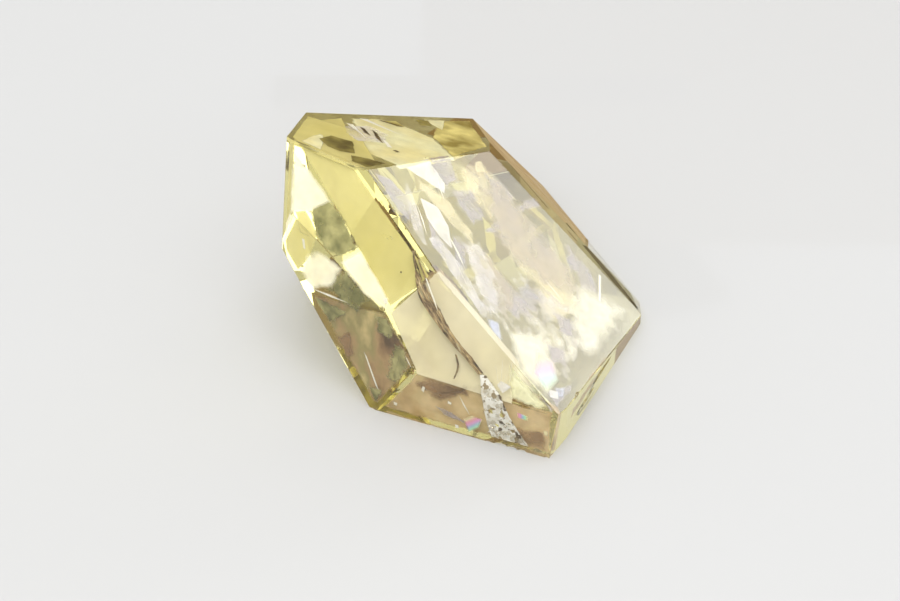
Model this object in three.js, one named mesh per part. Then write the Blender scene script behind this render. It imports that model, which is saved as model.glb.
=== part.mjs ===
// A citrine quartz point: one pale yellow crystal, ground and polished on flat laps until it is a
// short, many-sided block that lies on a flat base.
//
// Units are millimetres and +Z is up. The base lies on Z = 0, and the origin is the middle of the
// footprint box. The crystal's pointed tip is towards -Y, and its length runs along Y.
//
// The crystal is the space that all of its facets leave between them. A facet is given the way a
// faceter sets the lap: the direction that it faces, and how far its plane stays from the origin.

import * as THREE from 'three';
import { ConvexGeometry } from 'three/addons/geometries/ConvexGeometry.js';

// Colour and surface of the polished crystal.
const CITRINE_COLOR = 0xd9cf8c;
const CITRINE_ROUGHNESS = 0.04;
const CITRINE_OPACITY = 0.35;

// azimuth: the compass direction that the facet faces, in degrees from +X towards +Y.
// lean: how far it faces up (or down, if negative), in degrees from level.
// distance: from the origin to its plane.
const FACETS = [
  // The base, and the crown above it.
  { name: 'base', azimuth: 0, lean: -90, distance: 0 },
  { name: 'top face', azimuth: 53, lean: 67, distance: 18.5 },
  { name: 'broad right face', azimuth: -9, lean: 51, distance: 13.5 },
  { name: 'front ridge bevel', azimuth: -101, lean: 45.5, distance: 23.4 },

  // The front, from its upper face down to the foot above the base.
  { name: 'upper front face', azimuth: -121.5, lean: 26, distance: 20.9 },
  { name: 'lower front face', azimuth: -112, lean: 19, distance: 20.2 },
  { name: 'front foot', azimuth: -113.5, lean: -2, distance: 18.5 },

  // The left side.
  { name: 'left shoulder', azimuth: -149, lean: 16.5, distance: 23 },
  { name: 'upper left face', azimuth: -128.5, lean: 12, distance: 19.2 },
  { name: 'lower left face', azimuth: -127.5, lean: 7, distance: 18.4 },
  { name: 'left undercut', azimuth: -165, lean: -25, distance: 12.6 },
  { name: 'left end', azimuth: 171, lean: -1, distance: 18.2 },

  // The pointed tip and the right end.
  { name: 'tip bevel', azimuth: -30, lean: -9, distance: 19.5 },
  { name: 'right end', azimuth: -24, lean: -7, distance: 18.2 },
  { name: 'right corner', azimuth: 0, lean: 0.5, distance: 19.6 },

  // The back.
  { name: 'back ridge bevel', azimuth: 17, lean: 41.5, distance: 14.8 },
  { name: 'back slope', azimuth: 25, lean: 36.5, distance: 15.3 },
  { name: 'back face', azimuth: 121, lean: -1.5, distance: 16.3 },
];

// Three planes whose normals span less than this have no useful common point.
const SMALLEST_SPAN = 1e-6;

// A point may be this far outside a facet, in millimetres, and still count as on it.
const ON_FACET = 1e-6;

// The plane of a facet, with its normal pointing out of the crystal.
function facetPlane({ azimuth, lean, distance }) {
  const turn = THREE.MathUtils.degToRad(azimuth);
  const rise = THREE.MathUtils.degToRad(lean);
  const normal = new THREE.Vector3(
    Math.cos(turn) * Math.cos(rise),
    Math.sin(turn) * Math.cos(rise),
    Math.sin(rise),
  );
  return new THREE.Plane(normal, -distance);
}

// The point where three planes meet, or null where they don't meet in one point.
function meetingPoint(a, b, c) {
  const bc = new THREE.Vector3().crossVectors(b.normal, c.normal);
  const ca = new THREE.Vector3().crossVectors(c.normal, a.normal);
  const ab = new THREE.Vector3().crossVectors(a.normal, b.normal);
  const span = a.normal.dot(bc);
  if (Math.abs(span) < SMALLEST_SPAN) {
    return null;
  }
  return new THREE.Vector3()
    .addScaledVector(bc, -a.constant)
    .addScaledVector(ca, -b.constant)
    .addScaledVector(ab, -c.constant)
    .divideScalar(span);
}

// The crystal's corners: the meeting points that no facet cuts away.
function crystalCorners(planes) {
  const corners = [];
  for (let i = 0; i < planes.length; i += 1) {
    for (let j = i + 1; j < planes.length; j += 1) {
      for (let k = j + 1; k < planes.length; k += 1) {
        const point = meetingPoint(planes[i], planes[j], planes[k]);
        if (point && planes.every((plane) => plane.distanceToPoint(point) < ON_FACET)) {
          corners.push(point);
        }
      }
    }
  }
  return corners;
}

// The faceted solid, centred over the origin and lying on Z = 0.
function crystalGeometry() {
  const corners = crystalCorners(FACETS.map(facetPlane));
  const middle = new THREE.Box3().setFromPoints(corners).getCenter(new THREE.Vector3());
  const geometry = new ConvexGeometry(corners);
  geometry.translate(-middle.x, -middle.y, 0);
  return geometry;
}

const citrine = new THREE.MeshStandardMaterial({
  color: CITRINE_COLOR,
  roughness: CITRINE_ROUGHNESS,
  metalness: 0,
  transparent: true,
  opacity: CITRINE_OPACITY,
});

const crystal = new THREE.Mesh(crystalGeometry(), citrine);
crystal.name = 'citrine_crystal';

const part = new THREE.Group();
part.add(crystal);

export default part;
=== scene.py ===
import math
import random

import bmesh
import bpy
from mathutils import Matrix, Vector


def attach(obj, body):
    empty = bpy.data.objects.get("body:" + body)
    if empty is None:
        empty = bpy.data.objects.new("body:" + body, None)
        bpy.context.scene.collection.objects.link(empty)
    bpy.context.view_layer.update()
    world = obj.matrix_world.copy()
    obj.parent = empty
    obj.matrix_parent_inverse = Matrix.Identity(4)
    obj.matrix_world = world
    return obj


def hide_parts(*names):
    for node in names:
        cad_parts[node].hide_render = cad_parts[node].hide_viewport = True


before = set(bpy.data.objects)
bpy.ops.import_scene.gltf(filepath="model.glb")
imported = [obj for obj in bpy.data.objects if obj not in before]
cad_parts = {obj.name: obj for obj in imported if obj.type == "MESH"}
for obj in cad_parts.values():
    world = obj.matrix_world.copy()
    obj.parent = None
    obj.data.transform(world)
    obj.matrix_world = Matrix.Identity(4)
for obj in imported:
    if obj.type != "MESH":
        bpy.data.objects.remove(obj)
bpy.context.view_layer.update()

bl_info = {
    "name": "Citrine Crystal Point",
    "version": (1, 0, 0),
    "blender": (4, 5, 0),
    "location": "View3D > Sidebar > Citrine",
    "description": "Builds a polished citrine point with its inner fractures and a plain studio",
    "category": "Add Mesh",
}

MM = 0.001
NODE = "citrine_crystal"
BODY = "root"

# The crystal.
SAME_CORNER = 0.001 * MM      # corners of the solid that are closer than this are one
SAME_FACET = math.radians(0.4)
CHIP_CRUMPLE = 0.04 * MM

# The sheets and breaks inside it.
FILM = 0.02 * MM              # thickness of a sheet
SHEET_CUTS = 4
SLIVER_RIM = 0.7              # widest rim of a sliver, as a share of its area over its girth
ROUND_RIM = 0.8               # what a disc's rim may have on top of that
RIBBON_LIFT = 0.6             # share of a break's crumple that goes straight out of it
VEIL_ROUGHNESS = 0.45
BREAK_FILM = 0.06 * MM
CRACK_FILM = 0.05 * MM
FOOT_FILM = 0.04 * MM
AIR_FILMS = 110
AIR_FILM = 0.05 * MM          # half the thickness of an air film, and how far it crumples
AIR_SEED = 12
RAINBOW_CRUMPLE = 0.3
RAINBOW_COVER = 0.8
RAINBOW_SEED = 131
QUARTZ_WAVES = 140.0          # these four are how many of a pattern's features fit in a metre
SPLINTERS = 2300.0
FIBRES = 2900.0
FIBRE_GAPS = 2300.0

# The stage.
AIR_GAP = 0.05 * MM           # between the base and what it lies on
FLOOR_RADIUS = 0.6
FLOOR_SIDES = 128
BOWL_BEND = 0.3
BOWL_STEPS = 10
QUARTER = math.radians(90)
DAYLIGHT = 0.78
CAMERA_AIM = Vector((-1.56, 3.10, 0.0)) * MM
CAMERA_HEIGHT = math.radians(38.0)
CAMERA_DISTANCE = 380.8 * MM
LENS = 136.0
SENSOR = 36.0

# The facets that pieces lie under: the compass direction that each faces, and its lean.
FACETS = {
    "top": (53, 67),
    "right": (-9, 51),
    "upper_front": (-121.5, 26),
    "lower_front": (-112, 19),
    "foot": (-113.5, -2),
    "shoulder": (-149, 16.5),
    "upper_left": (-128.5, 12),
    "lower_left": (-127.5, 7),
    "right_end": (-24, -7),
    "back_bevel": (17, 41.5),
    "back_slope": (25, 36.5),
}

# Sheets inside the crystal, in groups: name, facet, depth below it, width of the soft rim, strength
# from 0 to 1, and the outline as places across and up the facet. Lengths are in millimetres. Many
# sheets are painted reflections: under a facet they put the patches of light, shade and colour
# that it shows of its surroundings.
WHITE_VEILS = (
    ("shard", "right", 0.9, 0.3, 0.95,
     ((-2.7, 18.6), (1.4, 15.8), (-0.4, 13.2), (-2.2, 12.8), (-2.4, 15.8))),
    ("blade", "right", 0.8, 0.15, 0.95,
     ((-5.5, 15.8), (-4.9, 13.4), (-6.6, 11.5), (-9.7, 10.3), (-9.2, 12.4), (-7.8, 14.4))),
    ("square", "right", 0.8, 0.05, 1.0,
     ((-19.6, -4.9), (-19.0, -5.9), (-20.0, -6.3), (-20.6, -5.2))),
    ("flake", "lower_front", 0.6, 0.08, 1.0, ((11.0, 1.3), (11.4, 1.9), (12.7, 1.5), (11.8, 0.5))),
)
MISTS = (
    ("sliver", "right", 0.7, 0.3, 0.8,
     ((-4.4, 18.0), (-5.9, 16.5), (-11.9, 13.2), (-12.3, 13.8), (-11.3, 15.6), (-6.4, 17.8))),
    ("wide", "right", 1.1, 0.9, 0.9,
     ((-7.5, 9.3), (-4.6, 7.5), (-8.1, 4.4), (-15.2, 2.2), (-13.9, 5.4), (-10.6, 7.8))),
    ("along_ridge", "right", 0.8, 0.5, 0.9,
     ((-10.7, 13.9), (-9.0, 12.4), (-11.3, 8.1), (-15.9, 3.5), (-16.6, 4.9), (-13.8, 9.4))),
    ("low_side", "right", 1.9, 3.0, 0.55,
     ((-5.5, 3.5), (2.5, -7.0), (1.0, -13.0), (-9.0, -10.5), (-18.5, -6.8), (-20.0, -2.0),
      (-13.5, 4.5))),
    ("top_side", "right", 1.9, 1.2, 0.4,
     ((0.6, 15.6), (6.6, 11.0), (4.4, 5.8), (-2.6, 8.8), (-3.2, 12.6))),
    ("top_mist", "top", 0.45, 0.5, 0.8,
     ((15.3, 10.0), (14.2, 6.2), (11.2, 6.4), (9.2, 9.6), (11.0, 12.8), (13.4, 12.0))),
    ("left_side", "right", 1.4, 1.5, 0.45,
     ((-8.9, 14.4), (-4.2, 9.0), (-9.6, 1.6), (-17.6, -0.8), (-18.3, 2.0), (-13.7, 9.3))),
)
# Painted light: patches of bright glare that the right facet shows, painted as pale sheets.
GLOWS = (
    ("corner", "right", 1.3, 2.4, 0.62,
     ((0.9, -4.6), (2.6, -13.8), (-9.6, -11.0), (-12.2, -7.4), (-5.2, -4.4))),
    ("low", "right", 1.3, 2.0, 0.8,
     ((-15.0, 2.6), (-11.4, -2.8), (-15.6, -6.6), (-21.4, -5.4), (-20.4, -0.8))),
    ("middle", "right", 1.6, 1.5, 0.36,
     ((-10.6, -0.4), (-7.4, -5.8), (-10.0, -8.8), (-15.0, -6.8), (-14.6, -1.6))),
)
# Painted highlights: bright flares that the front, left and shoulder facets show, painted as warm
# white sheets that also give off a painted glow.
GLEAMS = (
    ("flare", "upper_front", 0.75, 0.8, 1.0,
     ((-14.9, 17.3), (-9.6, 13.9), (-8.6, 12.9), (-10.8, 11.0), (-13.4, 10.0))),
    ("front_band", "upper_front", 0.75, 0.6, 1.0,
     ((-6.4, 7.0), (-4.0, 9.3), (0.6, 5.2), (0.6, 3.6), (-2.6, 4.6))),
    ("left_patch", "upper_left", 0.7, 1.2, 1.0,
     ((-9.5, 8.0), (-9.1, 10.6), (-7.2, 12.2), (-3.4, 11.4), (-4.4, 8.2), (-7.2, 6.6))),
    ("shoulder", "shoulder", 0.35, 0.15, 1.0,
     ((-4.95, 12.0), (-5.3, 9.4), (-5.75, 10.7), (-5.5, 12.2))),
)
STREAKS = (
    ("thin_a", "right", 0.7, 0.02, 1.0, ((-10.2, 10.6), (-12.4, 8.6), (-15.0, 6.0), (-12.5, 8.4))),
    ("thin_b", "right", 0.8, 0.02, 1.0, ((-8.2, 10.9), (-9.4, 9.6), (-11.4, 8.2), (-9.6, 9.4))),
    ("thin_c", "right", 0.7, 0.02, 1.0, ((-6.6, 16.2), (-8.6, 14.9), (-10.8, 13.6), (-8.7, 14.6))),
    ("thin_d", "right", 0.9, 0.03, 1.0, ((3.6, -8.0), (3.5, -8.4), (-0.6, -9.0), (-0.5, -8.7))),
    ("thin_e", "right", 0.6, 0.02, 1.0, ((-0.2, 14.6), (-1.8, 14.0), (-3.4, 12.8), (-1.7, 13.8))),
    ("thin_f", "right", 1.2, 0.02, 1.0, ((-0.4, 4.2), (-2.2, 0.8), (-4.8, -4.6), (-2.6, 0.8))),
    ("foot_a", "foot", 0.6, 0.03, 1.0, ((7.3, 6.0), (7.8, 4.6), (8.7, 3.2), (8.0, 4.7))),
    ("foot_b", "foot", 0.8, 0.1, 1.0, ((6.7, 1.5), (7.2, 1.5), (7.3, 1.0), (6.8, 0.9))),
    ("foot_c", "foot", 0.8, 0.1, 1.0, ((6.0, 4.6), (6.5, 4.4), (6.4, 4.0), (5.9, 4.1))),
    ("foot_d", "foot", 0.8, 0.06, 1.0, ((3.1, 5.7), (3.4, 5.5), (3.2, 4.7), (2.9, 5.0))),
    ("foot_e", "foot", 0.8, 0.08, 1.0, ((-0.4, 2.3), (0.1, 2.2), (0.0, 1.7), (-0.4, 1.8))),
    ("left_a", "lower_left", 0.5, 0.03, 1.0, ((5.3, 6.1), (5.7, 5.8), (6.4, 4.8), (5.8, 5.4))),
    ("left_b", "lower_left", 0.9, 0.1, 1.0, ((-0.5, 4.3), (0.2, 3.6), (2.4, -0.3), (1.6, 0.4))),
    ("left_c", "upper_left", 0.5, 0.03, 1.0, ((-8.0, 7.1), (-4.9, 7.5), (-2.1, 7.6), (-4.9, 7.2))),
    ("left_d", "upper_left", 0.7, 0.06, 1.0,
     ((-9.6, 12.3), (-9.2, 12.3), (-8.9, 11.2), (-9.2, 11.2))),
    ("top_a", "top", 0.3, 0.05, 1.0, ((10.4, 8.9), (9.9, 8.9), (8.1, 10.2), (8.5, 10.6))),
    ("front_a", "upper_front", 0.6, 0.05, 1.0, ((-0.2, 5.0), (0.3, 5.2), (0.6, 4.6), (0.1, 4.5))),
    ("hair_a", "lower_front", 0.5, 0.02, 0.6,
     ((10.6, 3.4), (10.66, 3.4), (11.2, 1.7), (11.14, 1.7))),
    ("hair_b", "lower_front", 0.5, 0.02, 0.6,
     ((11.3, 4.2), (11.36, 4.2), (11.5, 1.4), (11.44, 1.4))),
    ("hair_c", "lower_front", 0.5, 0.02, 0.6,
     ((11.9, 2.7), (11.95, 2.7), (11.8, 1.5), (11.75, 1.5))),
    ("hair_d", "lower_front", 0.5, 0.02, 0.6,
     ((12.3, 4.4), (12.36, 4.4), (12.5, 2.2), (12.44, 2.2))),
    ("hair_e", "lower_front", 0.5, 0.02, 0.6,
     ((12.9, 3.6), (12.95, 3.6), (12.6, 2.5), (12.55, 2.5))),
    ("top_b", "top", 0.35, 0.03, 0.9, ((15.6, 8.8), (14.9, 8.3), (11.0, 10.9), (12.9, 9.9))),
    ("top_c", "top", 0.6, 0.03, 0.9, ((16.2, 5.4), (15.6, 4.6), (10.2, 4.8), (13.0, 5.2))),
    ("crack", "lower_front", 0.45, 0.02, 1.0,
     ((1.7, 11.1), (1.9, 11.0), (3.1, 8.9), (3.6, 7.7), (2.9, 8.8))),
)
BLUE_GLINTS = (
    ("edge", "right", 0.8, 0.8, 0.8, ((-15.8, 5.4), (-14.7, 2.6), (-18.2, 1.6), (-17.6, 3.4))),
    ("tip", "right", 0.9, 0.5, 0.6, ((-18.6, -5.2), (-16.8, -7.0), (-19.0, -7.2), (-20.4, -6.2))),
)
CREAM_VEILS = (
    ("diagonal", "right", 1.4, 1.3, 0.9,
     ((-1.4, 6.6), (0.4, 2.6), (-1.6, -3.9), (-1.9, -8.3), (-5.6, -5.0), (-5.4, 1.4))),
    ("top_gleam", "right", 1.4, 0.5, 1.0, ((6.8, 10.6), (8.2, 9.5), (6.3, 8.6), (4.6, 9.9))),
    ("upper", "right", 1.7, 1.4, 0.8,
     ((3.6, 13.0), (8.6, 9.4), (6.4, 3.2), (-1.0, 6.4), (0.6, 10.6))),
    ("left", "right", 1.4, 0.9, 0.85,
     ((-2.2, 17.3), (-1.7, 12.7), (-4.2, 8.1), (-6.9, 7.1), (-6.1, 11.1), (-4.1, 16.2))),
    ("middle", "right", 1.8, 1.4, 0.8,
     ((-2.4, 0.4), (0.6, -5.6), (-4.6, -7.4), (-9.4, -4.8), (-8.2, -0.2))),
)
STRAW_VEILS = (
    ("panel", "top", 1.1, 0.7, 1.0,
     ((16.9, 6.2), (15.6, 2.4), (12.8, 1.0), (8.6, 1.0), (3.7, 4.2), (4.2, 14.4), (9.3, 14.8),
      (12.4, 11.2))),
    ("corner", "top", 0.3, 0.3, 1.0,
     ((13.4, 20.2), (14.0, 17.6), (14.2, 15.4), (13.4, 15.6), (11.4, 18.5), (10.4, 20.2))),
    ("wedge", "top", 0.8, 0.12, 1.0, ((13.4, -3.2), (12.2, -6.0), (10.0, -2.4))),
    ("front_wedge", "lower_front", 1.0, 0.9, 0.8,
     ((11.8, 4.4), (13.2, 3.4), (18.0, -0.1), (15.6, -0.4), (12.2, -0.4))),
)
HAZES = (
    ("middle", "right", 1.0, 3.0, 0.8,
     ((3.9, 10.3), (7.6, 7.2), (5.0, 0.5), (1.5, -7.0), (-2.5, -8.0), (-5.5, -3.0), (-5.5, 4.2),
      (-1.0, 8.0))),
    ("ridge_side", "right", 1.5, 1.2, 0.7,
     ((-7.4, 9.6), (-5.0, 6.4), (-8.0, 1.0), (-14.6, 1.0), (-13.4, 5.0))),
)
LILAC_VEILS = (
    ("first", "right", 1.2, 0.45, 1.0,
     ((1.7, 15.8), (4.8, 13.3), (1.5, 11.9), (-0.5, 12.9), (0.0, 14.6))),
    ("band", "right", 1.5, 0.9, 0.7,
     ((-0.8, 13.2), (3.0, 10.0), (-0.6, 6.8), (-3.9, 8.3), (-2.0, 11.2))),
    ("mauve", "right", 1.3, 0.8, 0.7, ((-6.6, 11.4), (-7.0, 8.4), (-10.6, 7.5), (-12.2, 9.8))),
    ("inner", "right", 1.0, 0.5, 0.7, ((-7.2, 14.6), (-8.8, 11.9), (-11.6, 10.8), (-11.8, 12.8))),
    ("diagonal", "right", 1.5, 1.0, 0.75,
     ((-3.8, 7.9), (5.7, 3.9), (9.0, 2.2), (8.0, 0.6), (5.5, 2.1), (-1.8, 5.0))),
    ("side", "right", 1.3, 1.4, 0.75,
     ((5.8, -2.6), (4.3, -7.2), (0.2, -9.8), (-1.4, -6.4), (1.6, -3.2))),
    ("small", "right", 1.5, 0.8, 0.8, ((-7.1, -3.1), (-5.7, -6.0), (-8.8, -7.1), (-10.2, -4.6))),
    ("middle", "right", 1.6, 1.6, 0.65,
     ((-8.3, 4.2), (-3.6, -0.8), (-7.5, -3.2), (-13.3, -0.1), (-13.2, 3.2))),
    ("low", "right", 1.3, 0.8, 0.75, ((-12.6, -3.2), (-11.2, -6.0), (-14.2, -6.9), (-15.7, -4.2))),
    ("tip", "right", 1.1, 0.8, 0.8, ((-20.2, -4.2), (-14.9, -8.0), (-17.4, -8.0), (-21.5, -6.5))),
    ("ridge_patch", "right", 0.9, 0.7, 1.0,
     ((-6.9, 22.0), (-5.5, 19.7), (-7.0, 16.2), (-10.3, 15.9), (-10.0, 18.2))),
    ("streak", "foot", 0.9, 0.35, 0.8,
     ((4.0, 3.4), (5.4, 3.4), (8.2, 2.4), (8.0, 1.7), (5.4, 2.1))),
    ("upper", "right", 1.6, 1.2, 0.6, ((6.6, 10.2), (8.0, 5.6), (5.0, 2.8), (2.4, 6.6))),
)
OLIVE_VEILS = (
    ("front_patch", "upper_front", 0.85, 0.9, 1.0,
     ((-11.8, 11.2), (-9.3, 13.7), (-7.0, 12.2), (-4.0, 9.1), (-6.4, 7.0), (-9.1, 7.9))),
    ("left_patch", "upper_left", 0.8, 1.2, 0.8,
     ((-5.1, 10.1), (-3.5, 12.0), (0.9, 9.2), (-1.0, 6.4), (-3.6, 6.8), (-6.2, 7.4))),
    ("left_band", "lower_left", 0.9, 0.6, 0.9,
     ((-7.8, 8.2), (-2.2, 8.1), (-5.0, 5.2), (-7.0, 6.8))),
    ("low_right", "lower_left", 0.8, 1.2, 1.0,
     ((3.2, 7.1), (5.2, 7.3), (6.5, 5.2), (4.4, 1.4), (2.6, 2.0))),
    ("low_top", "lower_left", 0.8, 1.0, 1.0,
     ((0.7, 9.4), (2.7, 10.0), (4.1, 8.2), (2.9, 6.6), (0.9, 7.2))),
    ("low_tip", "lower_left", 0.8, 0.7, 0.8, ((0.2, 0.3), (3.0, 0.5), (2.2, -1.7), (1.5, -1.8))),
)
# Painted reflection: the dark patches that the top facet shows where it reflects the dark
# surroundings.
BRONZE_VEILS = (
    ("left", "top", 0.25, 0.3, 1.0,
     ((13.2, 17.1), (13.4, 14.6), (11.0, 13.5), (8.3, 16.8), (9.4, 18.2), (11.2, 18.3))),
    ("front", "top", 0.25, 0.3, 1.0,
     ((8.4, 17.8), (6.8, 16.4), (5.0, 15.6), (4.9, 19.3), (7.0, 19.5))),
    ("back_spot", "top", 0.8, 0.3, 0.8, ((13.8, -2.0), (13.0, -3.8), (11.2, -2.4), (12.2, -0.8))),
)
# The band, line and spot under the back bevel are painted shade: the dark gap under the wood behind
# the crystal, as the bevel shows it. The slits and scars are dark marks in the quartz.
DARK_MARKS_AND_PAINTED_SHADE = (
    ("band", "back_bevel", 0.2, 0.08, 1.0,
     ((1.0, -4.5), (1.6, -5.7), (-1.4, -8.8), (-5.6, -11.3), (-6.3, -10.7), (-3.4, -7.6))),
    ("line", "back_bevel", 0.25, 0.05, 1.0, ((9.2, 4.6), (9.1, 4.1), (4.4, -0.2), (4.2, 0.3))),
    ("spot", "back_bevel", 0.3, 0.08, 1.0, ((2.0, -2.1), (1.9, -2.8), (0.7, -3.7), (0.6, -3.1))),
    ("slit_a", "top", 0.3, 0.06, 1.0, ((14.3, 8.0), (13.4, 8.1), (11.5, 9.5), (12.6, 9.3))),
    ("slit_b", "top", 0.3, 0.06, 1.0, ((13.1, 7.3), (11.9, 7.8), (9.3, 10.2), (10.9, 9.4))),
    ("slit_c", "top", 0.7, 0.03, 1.0, ((15.0, 3.3), (14.9, 2.9), (12.4, 1.9), (12.5, 2.2))),
    ("slit_d", "top", 0.7, 0.05, 1.0, ((7.8, 10.6), (7.7, 10.1), (7.0, 10.2), (7.1, 10.7))),
    ("speck", "upper_front", 0.6, 0.03, 1.0, ((1.1, 8.5), (1.3, 8.5), (1.3, 8.3), (1.1, 8.3))),
    ("scar_low", "right_end", 0.25, 0.04, 0.9,
     ((-11.9, 3.6), (-8.6, 4.6), (-4.2, 5.1), (-3.4, 4.9), (-8.4, 4.2), (-11.7, 3.3))),
    ("scar_high", "right_end", 0.25, 0.04, 0.9,
     ((-11.9, 3.5), (-11.4, 3.0), (-8.4, 2.7), (-5.0, 3.3), (-8.2, 3.0), (-11.2, 3.3))),
)
# Painted shade: the dark brown that the back slope shows of the wood behind the crystal and its
# shadow.
PAINTED_SLOPE_SHADES = (
    ("strip", "back_slope", 0.6, 0.7, 0.9,
     ((17.0, -6.8), (17.4, -10.6), (-4.8, -10.6), (0.4, -8.0))),
    ("top", "back_slope", 0.6, 1.2, 0.9, ((16.8, 3.6), (16.9, -4.0), (8.6, -5.6), (9.6, 4.4))),
)
# The two sheets under the foot are painted shade: the dark of the wood and the shade behind the
# crystal, as the foot shows them.
BROWN_VEILS = (
    ("left", "lower_left", 0.9, 1.2, 0.85, ((-4.8, 4.2), (-2.0, 6.2), (-0.9, 3.0), (-2.3, 1.3))),
    ("foot_top", "foot", 1.1, 1.6, 0.85,
     ((0.9, 5.4), (2.7, 7.4), (8.6, 7.4), (8.9, 5.6), (5.1, 3.6))),
    ("foot_tip", "foot", 1.1, 1.0, 0.8, ((12.6, 3.4), (17.6, 4.4), (17.6, 0.7), (13.6, 0.7))),
)
TAN_CLOUDS = (
    ("left_whole", "lower_left", 1.2, 0.6, 1.0,
     ((-7.9, 8.1), (2.0, 9.9), (6.4, 5.2), (2.0, -1.9), (1.3, -1.9))),
)
# The two sheets under the foot are painted reflection: the golden brown of the wood and the shade
# behind the crystal, as the foot shows them.
AMBER_VEILS = (
    ("foot", "foot", 1.5, 0.5, 1.0, ((-1.8, 0.7), (2.3, 7.3), (10.6, 7.0), (11.6, 0.7))),
    ("foot_end", "foot", 1.5, 0.5, 1.0, ((11.6, 6.6), (17.9, 6.4), (17.7, 0.6), (12.2, 0.6))),
    ("end", "right_end", 0.8, 0.8, 0.8,
     ((-14.6, 4.2), (-13.6, 6.0), (-8.8, 5.8), (-4.0, 5.2), (-2.8, 4.2), (-8.0, 4.4))),
)
SMOKY_VEILS = (
    ("top_right", "top", 1.0, 0.5, 1.0,
     ((9.3, 1.0), (12.7, -5.2), (11.2, -9.8), (4.4, -3.6), (3.8, 4.6))),
    ("top_back", "top", 0.9, 0.25, 1.0, ((15.0, 3.0), (14.2, 1.0), (12.4, 1.6), (12.8, 2.6))),
)
GOLD_VEILS = (
    ("top_panel", "top", 1.1, 0.2, 1.0, ((17.6, 11.5), (17.2, 7.2), (10.9, 13.6), (13.4, 15.3))),
    ("front", "upper_front", 1.1, 0.35, 1.0,
     ((-14.4, 17.6), (-7.3, 17.4), (4.6, 9.0), (0.8, 4.1), (-4.2, 8.8), (-9.3, 13.2))),
    ("left_top", "upper_left", 0.8, 0.25, 1.0,
     ((-10.8, 14.3), (-11.8, 11.1), (-11.5, 10.0), (-9.6, 8.3), (-8.2, 10.4), (-7.6, 12.9))),
    ("left_side", "upper_front", 0.95, 0.6, 1.0,
     ((-13.2, 10.6), (-11.6, 11.4), (-8.4, 8.2), (-11.8, 8.4))),
    ("top_left", "top", 0.6, 0.2, 1.0,
     ((18.8, 11.7), (14.7, 19.9), (13.5, 20.5), (6.0, 19.9), (5.0, 19.4), (6.2, 16.0),
      (13.4, 9.6))),
    ("shoulder", "shoulder", 0.7, 0.15, 1.0,
     ((-8.2, 19.1), (-8.9, 19.0), (-5.7, 10.4), (-5.3, 12.4))),
)
PALE_VEILS = (
    ("front", "lower_front", 1.3, 0.12, 1.0,
     ((-1.9, 6.1), (2.5, 11.5), (3.8, 11.1), (12.6, 4.1), (12.9, -0.4), (2.0, 0.2))),
)

# Chips along the edges: facet, place across and up it, and the half width across, up and into it.
CHIPS = (
    ("right_end", -10.0, 4.0, (2.6, 0.40, 0.14)),
    ("right_end", -5.6, 4.9, (2.8, 0.45, 0.16)),
    ("right_end", -13.4, 7.6, (0.7, 0.25, 0.25)),
    ("right_end", -1.2, 4.9, (0.6, 0.25, 0.25)),
    ("right_end", -8.0, 2.2, (0.9, 0.20, 0.25)),
    ("foot", 12.2, 0.6, (0.8, 0.40, 0.35)),
    ("foot", 13.5, 0.6, (0.6, 0.50, 0.30)),
    ("foot", 14.7, 0.6, (0.5, 0.30, 0.25)),
    ("foot", 10.8, 0.6, (0.4, 0.20, 0.20)),
    ("foot", 17.5, 0.9, (0.3, 0.45, 0.25)),
    ("foot", 4.3, 0.55, (0.45, 0.25, 0.22)),
    ("lower_left", 6.6, 4.9, (0.25, 0.60, 0.25)),
    ("lower_left", -3.4, 3.2, (0.3, 0.30, 0.20)),
    ("upper_front", 0.2, 4.0, (0.4, 0.25, 0.20)),
    ("upper_front", -1.2, 11.6, (0.7, 0.20, 0.20)),
    ("top", 4.4, 9.0, (0.2, 0.60, 0.20)),
)

# Rainbow flakes: name, facet, depth, width of the soft rim and outline, as for the sheets, then the
# turn of the colour bands, how far one run of them reaches, and how pale they are from 0 to 1.
RAINBOWS = (
    ("right", "right", 1.0, 0.9,
     ((-15.0, -2.4), (-15.0, -4.8), (-17.2, -5.9), (-20.4, -4.9), (-18.8, -2.5)),
     (0.0, 0.0, -0.7), 4.2, 0.45),
    ("foot", "foot", 0.7, 0.3,
     ((7.7, 2.6), (8.8, 3.5), (10.0, 3.3), (9.6, 1.9), (8.4, 0.8)), (0.0, 0.8, 0.0), 1.8, 0.1),
    ("small", "foot", 0.7, 0.2,
     ((13.9, 5.7), (15.3, 5.5), (15.2, 4.8), (14.0, 4.9)), (0.0, 0.0, 0.0), 1.4, 0.0),
    ("pin", "foot", 0.6, 0.1,
     ((17.0, 4.2), (17.5, 4.2), (17.5, 3.5), (17.0, 3.6)), (0.0, 0.0, 1.6), 3.0, 0.2),
)
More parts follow.
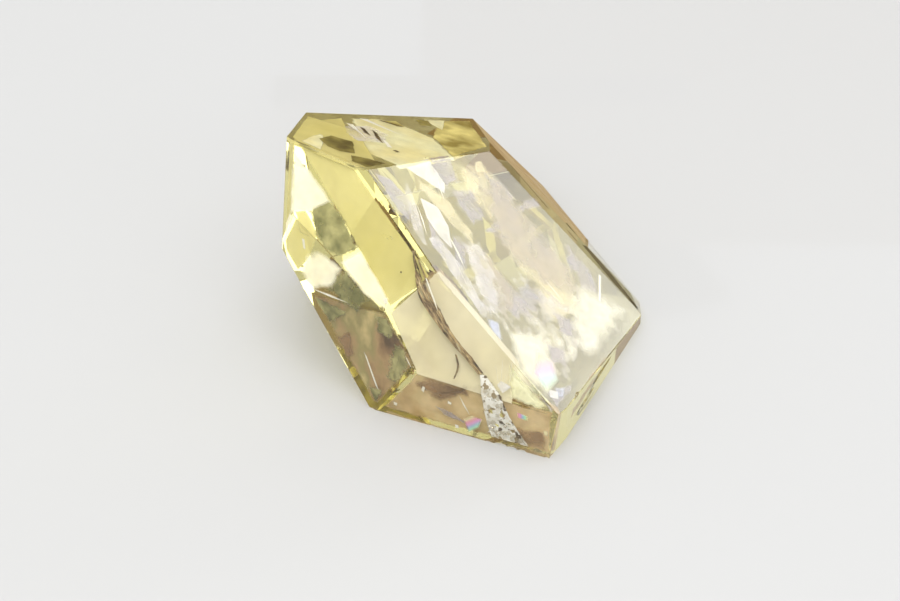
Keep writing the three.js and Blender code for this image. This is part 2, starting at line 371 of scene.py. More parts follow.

# Groups of sheets: the piece, its sheets, how much they crumple, the seed of that, and what their
# finish takes. That is two tones and the least and most cover, and where they aren't the usual, how
# fine the mottling is, how ragged the rims are and how much painted glow it gives off. The tan
# clouds have a finish of their own.
VEIL_GROUPS = (
    ("white_veils", WHITE_VEILS, 0.3, 11, ((1.0, 1.0, 1.0), (0.93, 0.92, 0.98), 0.3, 0.75)),
    ("mists", MISTS, 0.3, 311, ((0.94, 0.91, 0.93), (0.84, 0.82, 0.90), 0.10, 0.44, 420.0, 1.2)),
    ("glows", GLOWS, 0.2, 331, ((1.0, 0.99, 0.92), (1.0, 0.97, 0.80), 0.62, 0.92, 420.0, 0.35)),
    ("gleams", GLEAMS, 0.2, 334,
     ((1.0, 0.98, 0.86), (1.0, 0.95, 0.72), 0.66, 0.95, 420.0, 0.35, 0.17)),
    ("bright_streaks", STREAKS, 0.2, 211, ((1.0, 1.0, 1.0), (1.0, 0.98, 0.90), 0.8, 1.0)),
    ("blue_glints", BLUE_GLINTS, 0.2, 371, ((0.50, 0.58, 0.95), (0.78, 0.82, 1.0), 0.35, 0.75)),
    ("cream_veils", CREAM_VEILS, 0.3, 31, ((1.0, 0.93, 0.66), (0.98, 0.88, 0.55), 0.2, 0.5)),
    ("straw_veils", STRAW_VEILS, 0.3, 41, ((1.0, 0.93, 0.55), (1.0, 1.0, 0.74), 0.65, 0.95)),
    ("hazes", HAZES, 0.3, 411, ((0.62, 0.53, 0.38), (0.54, 0.47, 0.42), 0.35, 0.65)),
    ("lilac_veils", LILAC_VEILS, 0.3, 51, ((0.56, 0.50, 0.56), (0.42, 0.40, 0.47), 0.25, 0.65)),
    ("olive_veils", OLIVE_VEILS, 0.3, 71,
     ((0.22, 0.22, 0.08), (0.60, 0.57, 0.28), 0.55, 0.88, 900.0)),
    ("bronze_veils", BRONZE_VEILS, 0.2, 391,
     ((0.09, 0.08, 0.01), (0.36, 0.32, 0.08), 0.65, 0.95, 700.0)),
    ("edge_shades", DARK_MARKS_AND_PAINTED_SHADE, 0.1, 151, ((0.03, 0.025, 0.012), (0.10, 0.075, 0.03), 0.7, 1.0)),
    ("slope_shades", PAINTED_SLOPE_SHADES, 0.2, 171, ((0.30, 0.24, 0.09), (0.62, 0.55, 0.38), 0.3, 0.75)),
    ("tan_clouds", TAN_CLOUDS, 0.2, 351, None),
    ("brown_veils", BROWN_VEILS, 0.3, 91, ((0.20, 0.12, 0.06), (0.48, 0.31, 0.17), 0.35, 0.85)),
    ("amber_veils", AMBER_VEILS, 0.3, 191, ((0.62, 0.43, 0.20), (0.95, 0.76, 0.48), 0.5, 0.85)),
    ("smoky_veils", SMOKY_VEILS, 0.2, 231,
     ((0.34, 0.28, 0.06), (1.0, 0.90, 0.38), 0.65, 0.9, 520.0)),
    ("gold_veils", GOLD_VEILS, 0.15, 111,
     ((0.80, 0.73, 0.28), (0.88, 0.81, 0.38), 0.66, 0.84, 200.0)),
    ("pale_veils", PALE_VEILS, 0.15, 121,
     ((0.90, 0.83, 0.62), (0.96, 0.90, 0.71), 0.55, 0.78, 200.0)),
)

# The breaks, as rows of two points from one end to the other, in millimetres. The small crack's
# points are places across and up the lower front facet, and a depth below it.
MAIN_FRACTURE = (
    ((-5.4, -12.5, 18.9), (-5.1, -12.1, 18.5)),
    ((-5.2, -13.6, 17.7), (-4.5, -12.9, 17.2)),
    ((-5.1, -14.6, 16.3), (-3.2, -13.2, 16.4)),
    ((-4.8, -15.5, 14.9), (-1.6, -13.8, 15.1)),
    ((-3.9, -16.3, 13.7), (-0.4, -14.8, 13.6)),
    ((-2.6, -17.1, 12.2), (0.1, -15.8, 11.9)),
    ((-1.2, -18.2, 10.8), (0.6, -16.9, 10.4)),
    ((0.2, -19.1, 9.6), (1.9, -17.8, 9.3)),
    ((1.5, -20.1, 8.3), (2.7, -19.0, 7.9)),
)
SIDE_CRACK = (
    ((-4.8, -13.2, 18.3), (-4.6, -12.8, 17.9)),
    ((-4.4, -14.0, 17.4), (-4.1, -13.5, 17.0)),
    ((-3.9, -14.7, 16.4), (-3.5, -14.3, 16.1)),
)
SMALL_CRACK = (
    ((6.1, 3.6, 0.3), (6.2, 3.5, 0.6)),
    ((6.5, 2.2, 0.3), (6.6, 2.1, 0.9)),
    ((6.2, 0.8, 0.3), (6.3, 0.8, 0.7)),
)
BROKEN_FOOT = (
    ((1.7, -19.9, 8.2), (2.4, -20.0, 8.2)),
    ((1.9, -20.4, 6.3), (4.0, -21.2, 6.4)),
    ((2.2, -20.5, 4.1), (5.0, -21.6, 3.9)),
    ((2.6, -20.6, 1.9), (6.1, -22.1, 1.9)),
    ((3.0, -20.8, 0.8), (6.9, -22.4, 0.8)),
)
ALONG_FRACTURE = Vector((0.48, -0.51, -0.72))
BEHIND_FOOT = Vector((-0.10, 0.30, 0.0))


# ------------------------------ user settings

class CitrineSettings(bpy.types.PropertyGroup):
    """Sizes and colours of the crystal."""

    edge_width: bpy.props.FloatProperty(
        name="Edge Width",
        description="Width of the polished edge between two facets",
        default=0.16 * MM,
        min=0.0,
        subtype="DISTANCE",
        unit="LENGTH",
    )
    tint: bpy.props.FloatVectorProperty(
        name="Tint",
        description="Colour that light keeps at each surface of the crystal",
        default=(0.985, 0.97, 0.90),
        size=3,
        min=0.0,
        max=1.0,
        subtype="COLOR",
    )
    depth_colour: bpy.props.FloatVectorProperty(
        name="Depth Colour",
        description="Colour that light keeps on its way through the crystal",
        default=(0.965, 0.93, 0.50),
        size=3,
        min=0.0,
        max=1.0,
        subtype="COLOR",
    )
    depth_density: bpy.props.FloatProperty(
        name="Depth Density",
        description="How quickly the crystal takes light away, per metre",
        default=40.0,
        min=0.0,
    )
    polish_waves: bpy.props.FloatProperty(
        name="Polish Waves",
        description="Height of the slow waves that hand polishing leaves on a facet",
        default=0.008 * MM,
        min=0.0,
        precision=6,
        subtype="DISTANCE",
        unit="LENGTH",
    )
    refraction: bpy.props.FloatProperty(
        name="Refraction",
        description="Index of refraction of quartz",
        default=1.55,
        min=1.0,
        max=3.0,
    )


# ------------------------------ small helpers

def deselect_all():
    """Nothing selected and nothing active, so that an operator acts on new things only."""
    for item in bpy.context.selected_objects:
        item.select_set(False)
    bpy.context.view_layer.objects.active = None


def make_active(item):
    """This object alone selected and active."""
    deselect_all()
    item.select_set(True)
    bpy.context.view_layer.objects.active = item


def facing(direction):
    """The turn that points a light's or camera's view axis along a direction."""
    return Vector(direction).to_track_quat("-Z", "Y").to_euler()


def compass(azimuth, elevation, distance):
    """A point seen from the origin at an azimuth from +X towards +Y, and an elevation."""
    turn = math.radians(azimuth)
    rise = math.radians(elevation)
    flat = math.cos(rise)
    return Vector((math.cos(turn) * flat, math.sin(turn) * flat, math.sin(rise))) * distance


# ------------------------------ shader helpers

def new_material(name):
    """An empty node material: the material, its nodes and its output."""
    material = bpy.data.materials.new(name)
    material.use_nodes = True
    nodes = material.node_tree.nodes
    nodes.clear()
    return material, nodes, nodes.new("ShaderNodeOutputMaterial")


def add_node(nodes, kind, values=None, **options):
    """A shader node, with values for its sockets and with its options."""
    node = nodes.new("ShaderNode" + kind)
    for socket, value in (values or {}).items():
        node.inputs[socket].default_value = value
    for option, value in options.items():
        setattr(node, option, value)
    return node


def link(source, target):
    """Join an output socket to an input socket."""
    source.id_data.links.new(source, target)


def principled_material(name, values):
    """A material of one principled shader: the material, its nodes and that shader."""
    material, nodes, out = new_material(name)
    body = add_node(nodes, "BsdfPrincipled", values)
    link(body.outputs[0], out.inputs["Surface"])
    return material, nodes, body


def noise_mask(
    nodes, scale, low, high, detail=2.5, roughness=0.5, turn=(0, 0, 0), stretch=(1, 1, 1)
):
    """A noise over the object that runs from 0 at low to 1 at high, turned and stretched."""
    where = add_node(nodes, "TexCoord")
    place = add_node(nodes, "Mapping", {"Rotation": turn, "Scale": stretch}, vector_type="TEXTURE")
    noise = add_node(nodes, "TexNoise", {"Scale": scale, "Detail": detail, "Roughness": roughness})
    spread = add_node(nodes, "MapRange", {"From Min": low, "From Max": high})
    link(where.outputs["Object"], place.inputs["Vector"])
    link(place.outputs["Vector"], noise.inputs["Vector"])
    link(noise.outputs["Fac"], spread.inputs["Value"])
    return spread.outputs["Result"]


def colours_by(mask, stops, interpolation="LINEAR"):
    """The colour that a mask picks between stops, each a position and a colour, the first at 0."""
    ramp = add_node(mask.id_data.nodes, "ValToRGB")
    ramp.color_ramp.interpolation = interpolation
    elements = ramp.color_ramp.elements
    elements.remove(elements[-1])
    for index, (position, colour) in enumerate(stops):
        element = elements.new(position) if index else elements[0]
        element.color = (*colour, 1.0)
    link(mask, ramp.inputs["Fac"])
    return ramp.outputs["Color"]


def times(first, second):
    """Two masks multiplied. The second may be a plain number."""
    product = add_node(first.id_data.nodes, "Math", operation="MULTIPLY")
    link(first, product.inputs[0])
    if isinstance(second, float):
        product.inputs[1].default_value = second
    else:
        link(second, product.inputs[1])
    return product.outputs[0]


def soft_cover(nodes, scale, thinnest, thickest, ragged):
    """Patchy cover that fades, with a ragged edge, towards the rim of a sheet."""
    patch = add_node(nodes, "MapRange", {"To Min": thinnest, "To Max": thickest})
    link(noise_mask(nodes, scale, 0.3, 0.7), patch.inputs["Value"])
    rim = add_node(nodes, "Attribute", attribute_name="cover")
    bite = times(noise_mask(nodes, scale * 1.7, 0.3, 0.7), -ragged)
    edge = add_node(nodes, "Math", {1: 1.0 + ragged}, operation="MULTIPLY_ADD", use_clamp=True)
    link(rim.outputs["Fac"], edge.inputs[0])
    link(bite, edge.inputs[2])
    smooth = add_node(nodes, "MapRange", interpolation_type="SMOOTHSTEP")
    link(edge.outputs[0], smooth.inputs["Value"])
    return times(patch.outputs["Result"], smooth.outputs["Result"])


# ------------------------------ materials

def citrine_material(settings):
    """Clear quartz, pale yellow with depth, with the slow waves of its polish."""
    material, nodes, out = new_material("citrine")
    tint = (*settings.tint, 1.0)
    quartz = add_node(nodes, "BsdfPrincipled", {
        "Base Color": tint,
        "Roughness": 0.0,
        "IOR": settings.refraction,
        "Transmission Weight": 1.0,
    })
    clear = add_node(nodes, "BsdfTransparent", {"Color": tint})
    path = add_node(nodes, "LightPath")
    mix = add_node(nodes, "MixShader")
    where = add_node(nodes, "TexCoord")
    waves = add_node(nodes, "TexNoise", {"Scale": QUARTZ_WAVES, "Detail": 2.0})
    polish = add_node(nodes, "Bump", {"Distance": settings.polish_waves})
    depth = add_node(nodes, "VolumeAbsorption", {
        "Color": (*settings.depth_colour, 1.0),
        "Density": settings.depth_density,
    })
    link(where.outputs["Object"], waves.inputs["Vector"])
    link(waves.outputs["Fac"], polish.inputs["Height"])
    link(polish.outputs["Normal"], quartz.inputs["Normal"])
    link(path.outputs["Is Shadow Ray"], mix.inputs[0])
    link(quartz.outputs[0], mix.inputs[1])
    link(clear.outputs[0], mix.inputs[2])
    link(mix.outputs[0], out.inputs["Surface"])
    link(depth.outputs[0], out.inputs["Volume"])
    return material


def plain_material(name, colour, roughness):
    """One even colour, for the floor and the cards."""
    return principled_material(name, {"Base Color": (*colour, 1.0), "Roughness": roughness})[0]


def veil_material(name, first, second, thinnest, thickest, scale=420.0, ragged=0.9, painted_glow=0.0):
    """A cloudy sheet, fine inclusions in some groups and painted light and shade in many others:
    mottled colour, patchy cover that fades at its rim, and the painted glow that it is given.
    """
    material, nodes, body = principled_material(name, {
        "Roughness": VEIL_ROUGHNESS,
        "Emission Color": (*first, 1.0),
        "Emission Strength": painted_glow,
    })
    tone = noise_mask(nodes, scale * 0.6, 0.35, 0.65)
    link(colours_by(tone, ((0.0, first), (1.0, second))), body.inputs["Base Color"])
    link(soft_cover(nodes, scale, thinnest, thickest, ragged), body.inputs["Alpha"])
    return material


def cloud_material():
    """Tan clouds in the quartz, from dark brown to straw, with olive between them."""
    material, nodes, body = principled_material("tan_cloud", {"Roughness": VEIL_ROUGHNESS})
    tone = noise_mask(nodes, 260.0, 0.30, 0.70, detail=4.0, stretch=(1.0, 1.0, 1.6))
    tans = (
        (0.0, (0.13, 0.08, 0.04)),
        (0.25, (0.34, 0.21, 0.11)),
        (0.50, (0.55, 0.38, 0.20)),
        (0.72, (0.42, 0.36, 0.16)),
        (1.0, (0.80, 0.66, 0.34)),
    )
    link(colours_by(tone, tans), body.inputs["Base Color"])
    link(soft_cover(nodes, 300.0, 0.80, 0.95, 0.5), body.inputs["Alpha"])
    return material


def fracture_material():
    """A stained break: brown fibres along it, their palest cream a painted highlight, with clear
    gaps where the stain has not reached.
    """
    material, nodes, body = principled_material("stained_fracture", {"Roughness": 0.3})
    turn = ALONG_FRACTURE.to_track_quat("X", "Z").to_euler()
    fibres = {"turn": turn, "stretch": (5.0, 1.0, 1.0), "detail": 6.0, "roughness": 0.66}
    # Dark brown to tan are the stain; the palest cream is a painted highlight.
    stains_and_highlights = (
        (0.0, (0.015, 0.009, 0.004)),
        (0.26, (0.09, 0.055, 0.025)),
        (0.48, (0.30, 0.21, 0.11)),
        (0.72, (0.52, 0.40, 0.22)),
        (1.0, (0.85, 0.74, 0.52)),
    )
    tone = noise_mask(nodes, FIBRES, 0.33, 0.69, **fibres)
    link(colours_by(tone, stains_and_highlights), body.inputs["Base Color"])
    link(noise_mask(nodes, FIBRE_GAPS, 0.40, 0.47, **fibres), body.inputs["Alpha"])
    return material


def broken_material():
    """Splintered quartz: small sharp facets with clear gaps, painted white, grey, amber or dark as
    painted glints and painted shade.
    """
    material, nodes, body = principled_material(
        "broken_quartz", {"Roughness": 0.15, "Metallic": 0.35}
    )
    where = add_node(nodes, "TexCoord")
    splinters = add_node(nodes, "TexVoronoi", {"Scale": SPLINTERS}, distance="MANHATTAN")
    pick = add_node(nodes, "SeparateColor")
    clear = add_node(nodes, "Math", {1: 0.08}, operation="GREATER_THAN")
    # The bright splinters are painted glints, the dark ones painted shade.
    painted_glints_and_shade = (
        (0.0, (0.14, 0.10, 0.06)),
        (0.06, (0.38, 0.30, 0.18)),
        (0.14, (0.64, 0.60, 0.52)),
        (0.26, (0.90, 0.88, 0.84)),
        (0.48, (1.0, 1.0, 1.0)),
    )
    link(where.outputs["Object"], splinters.inputs["Vector"])
    link(splinters.outputs["Color"], pick.inputs["Color"])
    link(colours_by(pick.outputs["Red"], painted_glints_and_shade, "CONSTANT"), body.inputs["Base Color"])
    link(pick.outputs["Green"], clear.inputs[0])
    link(clear.outputs[0], body.inputs["Alpha"])
    return material


def air_film_material():
    """A film of air in the quartz, which throws light back as a mirror does."""
    return principled_material("air_film", {
        "Base Color": (1.0, 0.99, 0.95, 1.0),
        "Roughness": 0.0,
        "IOR": 0.65,
        "Transmission Weight": 1.0,
    })[0]


def rainbow_material(name, centre, turn, reach, pale):
    """Bands of spectral colour across a flake, where a film of air is thinnest."""
    material, nodes, body = principled_material(name, {"Roughness": 0.2})
    where = add_node(nodes, "TexCoord")
    place = add_node(
        nodes,
        "Mapping",
        {"Location": centre, "Rotation": turn, "Scale": (reach, reach, reach)},
        vector_type="TEXTURE",
    )
    bands = add_node(nodes, "TexGradient")
    rim = add_node(nodes, "Attribute", attribute_name="cover")
    spectrum = [(0.0, (1.0, 0.93, 0.62))]
    for position, colour in (
        (0.18, (1.0, 0.45, 0.62)),
        (0.34, (0.95, 0.42, 0.95)),
        (0.52, (0.45, 0.75, 1.0)),
        (0.68, (0.50, 1.0, 0.75)),
        (0.84, (0.98, 0.98, 0.50)),
    ):
        spectrum.append((position, [shade + (1.0 - shade) * pale for shade in colour]))
    spectrum.append((1.0, (0.55, 0.62, 1.0)))
    link(where.outputs["Object"], place.inputs["Vector"])
    link(place.outputs["Vector"], bands.inputs["Vector"])
    link(colours_by(bands.outputs["Fac"], spectrum), body.inputs["Base Color"])
    link(times(rim.outputs["Fac"], RAINBOW_COVER), body.inputs["Alpha"])
    return material


# ------------------------------ stage helpers

def softbox(name, where, size, radiance, seen=True):
    """A rectangular window of even brightness, facing the crystal.

    One that isn't seen lights the floor and the veils, and shows in no facet.
    """
    bpy.ops.object.light_add(type="AREA", location=where)
    light = bpy.context.object
    light.name = name
    light.data.shape = "RECTANGLE"
    light.data.size = size[0]
    light.data.size_y = size[1]
    light.data.energy = radiance * math.pi * size[0] * size[1]
    light.rotation_euler = facing(-Vector(where))
    light.visible_camera = False
    light.visible_glossy = seen
    light.visible_transmission = seen
    deselect_all()


def card(name, where, size, colour, refracted=True, turn=0.0):
    """A card that shows only in the crystal's reflections, and mostly in its refractions."""
    deselect_all()
    bpy.ops.mesh.primitive_cube_add(
        size=1.0, location=where, rotation=(0.0, 0.0, math.radians(turn)), scale=size
    )
    board = bpy.context.object
    board.name = name
    board.data.materials.append(plain_material(name, colour, 0.8))
    board.visible_camera = False
    board.visible_diffuse = False
    board.visible_shadow = False
    board.visible_transmission = refracted
    deselect_all()


# ------------------------------ modelling helpers

def facet_axes(facet):
    """The directions across and up a facet, its normal, and the normal's distance to the plane."""
    aim = compass(*FACETS[facet], 1.0)
    face = max(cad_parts[NODE].data.polygons, key=lambda item: item.normal.dot(aim))
    normal = face.normal.copy()
    across = Vector((0, 0, 1)).cross(normal).normalized()
    return across, normal.cross(across), normal, normal.dot(face.center)


def under(facet, across, up, depth):
    """The point at a place across and up a facet and a depth below it, all in millimetres."""
    right, rise, normal, distance = facet_axes(facet)
    return right * across * MM + rise * up * MM + normal * (distance - depth * MM)


def place_vertices(item, points):
    """Move each vertex of a mesh that is in edit mode to its own place."""
    for index, point in enumerate(points):
        mesh = bmesh.from_edit_mesh(item.data)
        mesh.verts.ensure_lookup_table()
        for vertex in mesh.verts:
            vertex.select = vertex.index == index
        mesh.select_flush_mode()
        offset = Vector(point) - mesh.verts[index].co
        bmesh.update_edit_mesh(item.data)
        bpy.ops.transform.translate(value=offset)


def cut_chip(body, facet, across, up, reach, seed):
    """Break a shallow, uneven chip out of the body at a place on a facet."""
    right, rise, normal, _ = facet_axes(facet)
    deselect_all()
    bpy.ops.mesh.primitive_ico_sphere_add(
        subdivisions=3,
        radius=1.0,
        location=under(facet, across, up, 0.0),
        rotation=Matrix((right, rise, normal)).transposed().to_euler(),
        scale=[side * MM for side in reach],
    )
    cutter = bpy.context.object
    bpy.ops.object.transform_apply()
    bpy.ops.object.mode_set(mode="EDIT")
    bpy.ops.mesh.select_all(action="SELECT")
    bpy.ops.transform.vertex_random(offset=CHIP_CRUMPLE, uniform=1.0, seed=seed)
    bpy.ops.object.mode_set(mode="OBJECT")
    sides = len(body.data.polygons)
    make_active(body)
    cut = body.modifiers.new("chip", "BOOLEAN")
    cut.operation = "DIFFERENCE"
    cut.solver = "EXACT"
    cut.object = cutter
    bpy.ops.object.modifier_apply(modifier=cut.name)
    bpy.data.objects.remove(cutter)
    if len(body.data.polygons) < sides:
        raise RuntimeError(f"The chip at {across}, {up} on the {facet} facet broke the crystal.")


def as_piece(item, material):
    """Give a finished inner piece its finish, and tie it to the crystal."""
    item.data.materials.clear()
    item.data.materials.append(material)
    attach(item, BODY)


def keep_out_of_mirrors(item):
    """Leave a dark piece out of the facets' reflections, where it would show many times over."""
    item.visible_glossy = False


def give_wall(item, thickness):
    """Turn an open sheet into a thin closed film."""
    make_active(item)
    wall = item.modifiers.new("wall", "SOLIDIFY")
    wall.thickness = thickness
    wall.offset = 0.0
    bpy.ops.object.modifier_apply(modifier=wall.name)


def draw_veil(name, outline, rim, strength, crumple, seed):
    """A thin sheet inside an outline, fading towards its rim."""
    deselect_all()
    bpy.ops.mesh.primitive_circle_add(vertices=len(outline), radius=MM, fill_type="NGON")
    veil = bpy.context.object
    veil.name = name
    bpy.ops.object.mode_set(mode="EDIT")
    bpy.ops.mesh.select_mode(type="VERT")
    place_vertices(veil, outline)
    bpy.ops.mesh.select_all(action="SELECT")
    bpy.ops.mesh.select_mode(type="FACE")
    bpy.ops.object.mode_set(mode="OBJECT")
    area = veil.data.polygons[0].area
    girth = sum((outline[index] - outline[index - 1]).length for index in range(len(outline)))
    roundness = 4 * math.pi * area / girth**2
    widest = (SLIVER_RIM + ROUND_RIM * roundness) * area / girth
    bpy.ops.object.mode_set(mode="EDIT")
    bpy.ops.mesh.inset(thickness=min(rim * MM, widest))
    bpy.ops.object.mode_set(mode="OBJECT")
    cover = veil.data.attributes.new("cover", "FLOAT", "POINT")
    for vertex in veil.data.vertices:
        cover.data[vertex.index].value = strength if vertex.select else 0.0
    bpy.ops.object.mode_set(mode="EDIT")
    bpy.ops.mesh.select_all(action="SELECT")
    bpy.ops.mesh.quads_convert_to_tris()
    bpy.ops.mesh.subdivide(
        number_cuts=SHEET_CUTS, fractal=crumple, fractal_along_normal=1.0, seed=seed
    )
    bpy.ops.object.mode_set(mode="OBJECT")
    bpy.ops.object.shade_smooth()
    give_wall(veil, FILM)
    return veil


def join_pieces(name, items):
    """Several sheets of one finish made one piece."""
    deselect_all()
    for item in items:
        item.select_set(True)
    bpy.context.view_layer.objects.active = items[0]
    if len(items) > 1:
        bpy.ops.object.join()
    whole = bpy.context.object
    whole.name = name
    return whole


def veil_group(name, sheets, material, crumple, seed):
    """All the veils of one finish, each under its own facet."""
    drawn = []
    for index, (label, facet, depth, rim, strength, places) in enumerate(sheets):
        outline = [under(facet, across, up, depth) for across, up in places]
        drawn.append(draw_veil(f"{name}_{label}", outline, rim, strength, crumple, seed + index))
    group = join_pieces(name, drawn)
    as_piece(group, material)
    return group


def draw_ribbon(name, rows, cuts, crumple, seed, thickness):
    """A crumpled sheet through rows of two points, in millimetres, from one end to the other."""
    deselect_all()
    bpy.ops.mesh.primitive_grid_add(x_subdivisions=1, y_subdivisions=len(rows) - 1, size=MM)
    ribbon = bpy.context.object
    ribbon.name = name
    points = [Vector(point) * MM for row in rows for point in row]
    bpy.ops.object.mode_set(mode="EDIT")
    bpy.ops.mesh.select_mode(type="VERT")
    place_vertices(ribbon, points)
    bpy.ops.mesh.select_all(action="SELECT")
    bpy.ops.mesh.subdivide(
        number_cuts=cuts,
        smoothness=1.0,
        fractal=crumple,
        fractal_along_normal=RIBBON_LIFT,
        seed=seed,
    )
    bpy.ops.object.mode_set(mode="OBJECT")
    bpy.ops.object.shade_flat()
    give_wall(ribbon, thickness)
    return ribbon


def on_ribbon(rows, along, aside):
    """The point of a ribbon's rows at a way along them, in rows, and a share of their width."""
    step = int(along)
    top = Vector(rows[step][0]).lerp(Vector(rows[step][1]), aside)
    low = Vector(rows[step + 1][0]).lerp(Vector(rows[step + 1][1]), aside)
    return top.lerp(low, along - step)


# ------------------------------ operators

class CITRINE_OT_body(bpy.types.Operator):
    """Build the polished crystal from its faceted solid"""

    bl_idname = "citrine.body"
    bl_label = "Polished Crystal"

    def execute(self, context):
        settings = context.scene.citrine
        deselect_all()
        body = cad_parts[NODE].copy()
        body.data = body.data.copy()
        body.name = "polished_crystal"
        body.parent = None
        for key in list(body.keys()):
            if key.startswith("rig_"):
                del body[key]
        context.scene.collection.objects.link(body)
        make_active(body)
        bpy.ops.object.mode_set(mode="EDIT")
        bpy.ops.mesh.select_all(action="SELECT")
        bpy.ops.mesh.remove_doubles(threshold=SAME_CORNER)
        bpy.ops.mesh.dissolve_limited(angle_limit=SAME_FACET)
        bpy.ops.mesh.select_all(action="SELECT")
        bpy.ops.mesh.normals_make_consistent(inside=False)
        bpy.ops.mesh.bevel(
            offset=settings.edge_width / 2,
            offset_type="OFFSET",
            segments=2,
            profile=0.5,
            affect="EDGES",
        )
        bpy.ops.object.mode_set(mode="OBJECT")
        for seed, chip in enumerate(CHIPS):
            cut_chip(body, *chip, seed)
        bpy.ops.object.shade_flat()
        body.data.materials.clear()
        body.data.materials.append(citrine_material(settings))
        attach(body, BODY)
        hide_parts(NODE)
        return {"FINISHED"}


class CITRINE_OT_veils(bpy.types.Operator):
    """Build the cloudy sheets and bright streaks under the facets, many painted light and shade"""

    bl_idname = "citrine.veils"
    bl_label = "Veils"

    def execute(self, context):
        for name, sheets, crumple, seed, finish in VEIL_GROUPS:
            if finish:
                material = veil_material(name.removesuffix("s"), *finish)
            else:
                material = cloud_material()
            group = veil_group(name, sheets, material, crumple, seed)
            if sheets is DARK_MARKS_AND_PAINTED_SHADE:
                keep_out_of_mirrors(group)
        return {"FINISHED"}


class CITRINE_OT_fracture(bpy.types.Operator):
    """Build the stained fracture that runs down the front, and its side cracks"""

    bl_idname = "citrine.fracture"
    bl_label = "Main Fracture"

    def execute(self, context):
        small_rows = [
            [under("lower_front", *spot) / MM for spot in row] for row in SMALL_CRACK
        ]
        breaks = [
            draw_ribbon("main_fracture", MAIN_FRACTURE, 5, 1.3, 3, BREAK_FILM),
            draw_ribbon("side_crack", SIDE_CRACK, 4, 0.9, 5, CRACK_FILM),
            draw_ribbon("small_crack", small_rows, 4, 0.8, 8, CRACK_FILM),
        ]
        fracture = join_pieces("main_fracture", breaks)
        as_piece(fracture, fracture_material())
        keep_out_of_mirrors(fracture)
        return {"FINISHED"}


class CITRINE_OT_sparkle(bpy.types.Operator):
    """Build the splintered foot of the fracture, and the small air films around it"""

    bl_idname = "citrine.sparkle"
    bl_label = "Sparkling Foot"

    def execute(self, context):
        foot = draw_ribbon("broken_foot", BROKEN_FOOT, 5, 3.6, 21, FOOT_FILM)
        as_piece(foot, broken_material())

        draw = random.Random(AIR_SEED)
        last_row = len(BROKEN_FOOT) - 1.001
        deselect_all()
        for index in range(AIR_FILMS):
            along = (index + draw.random()) / AIR_FILMS * last_row
            place = on_ribbon(BROKEN_FOOT, along, draw.random())
            place += BEHIND_FOOT * draw.uniform(-0.6, 2.0)
            size = draw.uniform(0.12, 0.34) * (0.6 + 0.25 * along)
            bpy.ops.mesh.primitive_ico_sphere_add(
                subdivisions=1,
                radius=1.0,
                location=place * MM,
                rotation=[draw.uniform(0.0, math.tau) for _ in range(3)],
                scale=(size * MM, size * draw.uniform(0.5, 1.2) * MM, AIR_FILM),
            )
            if index == 0:
                films = context.object
                films.name = "air_films"
                bpy.ops.object.transform_apply()
                bpy.ops.object.mode_set(mode="EDIT")
        bpy.ops.mesh.select_all(action="SELECT")
        bpy.ops.transform.vertex_random(offset=AIR_FILM, uniform=1.0, seed=4)
        bpy.ops.object.mode_set(mode="OBJECT")
        bpy.ops.object.shade_flat()
        as_piece(films, air_film_material())
        return {"FINISHED"}


class CITRINE_OT_rainbows(bpy.types.Operator):
    """Build the flakes that show spectral colours"""

    bl_idname = "citrine.rainbows"
    bl_label = "Rainbow Flakes"

    def execute(self, context):
        for index, (label, facet, depth, rim, places, turn, reach, pale) in enumerate(RAINBOWS):
            outline = [under(facet, across, up, depth) for across, up in places]
            name = f"rainbow_{label}"
            seed = RAINBOW_SEED + index
            flake = draw_veil(name, outline, rim, 1.0, RAINBOW_CRUMPLE, seed)
            start = sum(outline, Vector()) / len(outline) - Vector((0.5, 0, 0)) * reach * MM
            as_piece(flake, rainbow_material(name, start, turn, reach * MM, pale))
        return {"FINISHED"}


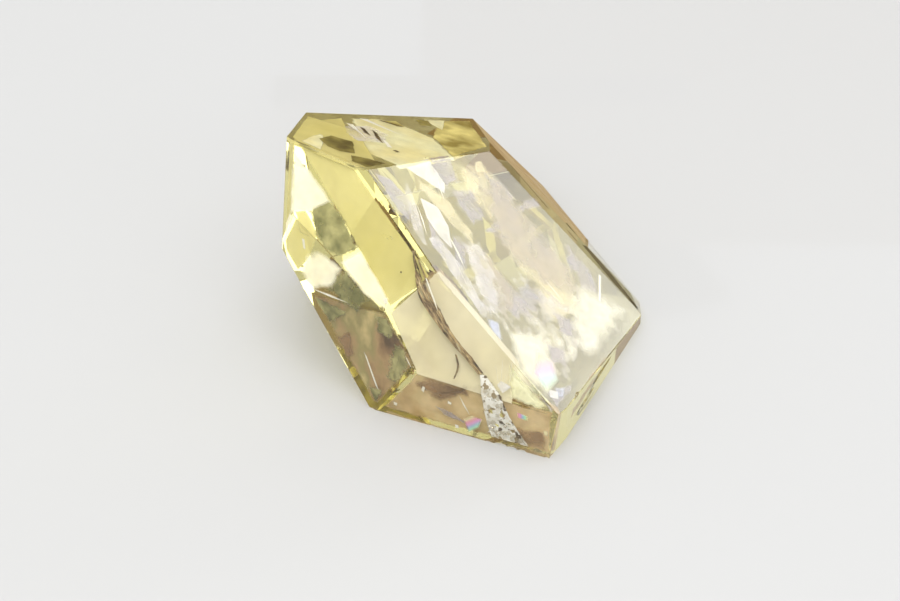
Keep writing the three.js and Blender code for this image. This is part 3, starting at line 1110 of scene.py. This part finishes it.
class CITRINE_OT_stage(bpy.types.Operator):
    """Build the plain floor, the soft lights and the camera"""

    bl_idname = "citrine.stage"
    bl_label = "Stage"

    def execute(self, context):
        scene = context.scene
        deselect_all()
        bpy.ops.mesh.primitive_circle_add(
            vertices=FLOOR_SIDES, radius=FLOOR_RADIUS, fill_type="NGON", location=(0, 0, -AIR_GAP)
        )
        floor = context.object
        floor.name = "studio_bowl"
        bpy.ops.object.mode_set(mode="EDIT")
        bpy.ops.mesh.select_mode(type="EDGE")
        bpy.ops.mesh.select_all(action="SELECT")
        radius = FLOOR_RADIUS
        for step in range(BOWL_STEPS):
            low = QUARTER * step / BOWL_STEPS
            high = QUARTER * (step + 1) / BOWL_STEPS
            wider = radius + BOWL_BEND * (math.sin(high) - math.sin(low))
            rise = BOWL_BEND * (math.cos(low) - math.cos(high))
            bpy.ops.mesh.extrude_edges_move()
            bpy.ops.transform.resize(value=(wider / radius, wider / radius, 1.0))
            bpy.ops.transform.translate(value=(0, 0, rise))
            radius = wider
        bpy.ops.object.mode_set(mode="OBJECT")
        bpy.ops.object.shade_smooth()
        floor.data.materials.append(plain_material("studio_white", (0.56, 0.56, 0.555), 0.6))

        world = bpy.data.worlds.new("soft_studio")
        world.use_nodes = True
        scene.world = world
        background = world.node_tree.nodes["Background"]
        background.inputs["Color"].default_value = (1.0, 1.0, 1.0, 1.0)
        background.inputs["Strength"].default_value = DAYLIGHT

        # Each light's name, place, width and height, and brightness.
        softbox("right_window", compass(41, 13.5, 0.75), (0.32, 0.28), 3.0)
        softbox("front_right_window", compass(-50, 24, 0.7), (0.26, 0.24), 1.0)
        softbox("side_strip", compass(-21, 19, 0.6), (0.07, 0.10), 3.0)
        softbox("low_strip", compass(-29, 12, 0.6), (0.05, 0.05), 2.2)
        softbox("overhead", (0.10, -0.35, 0.8), (0.6, 0.6), 1.6)
        softbox("front_fill", compass(-115, 50, 0.9), (0.5, 0.5), 4.0, seen=False)
        softbox("top_fill", (0.05, 0.10, 0.9), (0.5, 0.5), 2.4, seen=False)

        # Each card's name, place, size and colour. The back card is the wood behind the crystal;
        # the floor and edge cards are painted shadow, the shadowed table near the wood, seen only
        # in reflections.
        card("back_card", (0.002, 0.045, 0.024), (0.05, 0.006, 0.048), (0.25, 0.15, 0.08))
        card("floor_card", (0.026, 0.046, 0.0004), (0.062, 0.064, 0.0004), (0.40, 0.28, 0.14),
             refracted=False)
        card("edge_card", (0.0216, 0.0112, 0.0008), (0.020, 0.010, 0.0004), (0.17, 0.13, 0.05),
             refracted=False, turn=115.0)
        card("small_card", compass(-31.5, 20.5, 0.45), (0.04, 0.04, 0.04), (0.30, 0.22, 0.12))

        bpy.ops.object.camera_add()
        camera = context.object
        up_and_back = Vector((0.0, -math.cos(CAMERA_HEIGHT), math.sin(CAMERA_HEIGHT)))
        camera.location = CAMERA_AIM + up_and_back * CAMERA_DISTANCE
        camera.rotation_euler = facing(CAMERA_AIM - camera.location)
        camera.data.lens = LENS
        camera.data.sensor_width = SENSOR
        camera.data.clip_start = 0.01
        scene.camera = camera
        scene.view_settings.view_transform = "Standard"
        scene.cycles.max_bounces = 32
        scene.cycles.transmission_bounces = 24
        scene.cycles.glossy_bounces = 16
        scene.cycles.transparent_max_bounces = 24
        return {"FINISHED"}


class CITRINE_PT_panel(bpy.types.Panel):
    """Citrine tools"""

    bl_idname = "CITRINE_PT_panel"
    bl_label = "Citrine Crystal Point"
    bl_space_type = "VIEW_3D"
    bl_region_type = "UI"
    bl_category = "Citrine"

    def draw(self, context):
        layout = self.layout
        settings = context.scene.citrine
        for name in CitrineSettings.__annotations__:
            layout.prop(settings, name)
        for step in BUILD_STEPS:
            layout.operator(step.bl_idname)


BUILD_STEPS = (
    CITRINE_OT_stage,
    CITRINE_OT_body,
    CITRINE_OT_veils,
    CITRINE_OT_fracture,
    CITRINE_OT_sparkle,
    CITRINE_OT_rainbows,
)
CLASSES = (CitrineSettings, *BUILD_STEPS, CITRINE_PT_panel)


def register():
    for item in CLASSES:
        bpy.utils.register_class(item)
    bpy.types.Scene.citrine = bpy.props.PointerProperty(type=CitrineSettings)


def unregister():
    del bpy.types.Scene.citrine
    for item in reversed(CLASSES):
        bpy.utils.unregister_class(item)


def main():
    """Build everything in order."""
    register()
    bpy.ops.citrine.stage()
    bpy.ops.citrine.body()
    bpy.ops.citrine.veils()
    bpy.ops.citrine.fracture()
    bpy.ops.citrine.sparkle()
    bpy.ops.citrine.rainbows()


if __name__ == "__main__":
    main()
